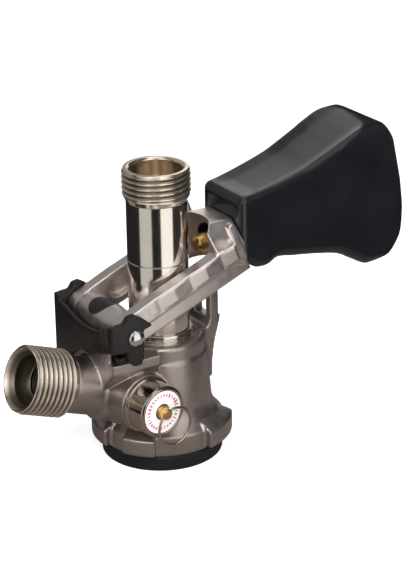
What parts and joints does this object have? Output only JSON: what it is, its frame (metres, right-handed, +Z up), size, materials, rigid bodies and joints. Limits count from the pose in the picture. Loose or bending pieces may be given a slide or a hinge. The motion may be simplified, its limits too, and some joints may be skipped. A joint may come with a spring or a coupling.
{
  "type": "keg coupler",
  "caption": "Lever-operated keg coupler: bayonet body, tilted gas inlet, relief valve with pull ring, raised pull-out grip and sliding probe with a threaded outlet.",
  "frame": {"origin": "centre of the base seal's bottom face, on the probe axis", "axes": "+Z up along the probe to the outlet, +X towards the lever grip, -X towards the gas inlet, -Y towards the relief valve"},
  "size_m": [0.146, 0.05, 0.1038],
  "materials": {
    "cast_body": "blasted satin casting",
    "lever_casting": "satin casting",
    "polished_tube": "polished",
    "bright_casing": "polished",
    "pin_steel": "polished",
    "grip_plastic": "semi-gloss moulded",
    "bracket_plastic": "satin moulded",
    "black_rubber": "smooth",
    "brass": "turned",
    "spring_steel": "drawn wire",
    "label_white": "printed disc with a plain ring",
    "white_plastic": "moulded",
    "screw_steel": "dark plated"
  },
  "bodies": {
    "body": {"body_housing": "cast_body", "base_seal": "black_rubber", "gland_nut": "polished_tube", "gland_orings": "black_rubber", "gas_valve_seat": "bright_casing", "gas_check_valve": "black_rubber", "hinge_bracket": "bracket_plastic", "bracket_screws": "screw_steel", "hinge_pin": "pin_steel", "pin_clip": "spring_steel", "relief_body": "bright_casing", "relief_label": "label_white", "relief_seat": "black_rubber"},
    "lever": {"lever_yoke": "lever_casting", "neck_bush": "brass", "latch_spring": "spring_steel"},
    "grip": {"handle_grip": "grip_plastic", "latch_bolt": "brass", "grip_pin": "pin_steel"},
    "probe": {"outlet_spout": "polished_tube", "probe_tube": "polished_tube", "probe_oring": "black_rubber", "trunnion_pins": "pin_steel", "probe_seal": "black_rubber", "ball_retainer": "white_plastic"},
    "ball": {"check_ball": "white_plastic"},
    "relief_valve": {"relief_stem": "brass", "relief_poppet": "brass", "relief_spring": "spring_steel"},
    "ring": {"pull_ring": "pin_steel"}
  },
  "joints": [
    {"name": "lever_pivot", "type": "hinge", "parent": "body", "child": "lever", "pos_m": [-0.0203, 0, 0.0515], "axis": [0, 1, 0], "range_deg": [0, 27]},
    {"name": "probe_slide", "type": "slide", "parent": "body", "child": "probe", "axis": [0, 0, -1], "range_m": [0, 0.0105]},
    {"name": "grip_pull", "type": "slide", "parent": "lever", "child": "grip", "axis": [0.9781, 0, 0.2079], "range_m": [0, 0.0065], "stiffness_N_per_m": 1500, "springref_m": -0.006, "deforming": ["latch_spring"]},
    {"name": "relief_pull", "type": "slide", "parent": "body", "child": "relief_valve", "axis": [0.1219, -0.9925, 0], "range_m": [0, 0.0025], "stiffness_N_per_m": 1200, "springref_m": -0.006, "deforming": ["relief_spring"]},
    {"name": "ring_swing", "type": "hinge", "parent": "relief_valve", "child": "ring", "pos_m": [-0.01447, -0.02749, 0.0263], "axis": [-0.8417, -0.1034, -0.5299], "range_deg": [-5, 90]},
    {"name": "ball_float", "type": "slide", "parent": "probe", "child": "ball", "axis": [0, 0, 1], "range_m": [0, 0.003]}
  ],
  "couplings": [
    {"joint": "probe_slide", "follows": "lever_pivot", "m_per_rad": 0.021117}
  ]
}
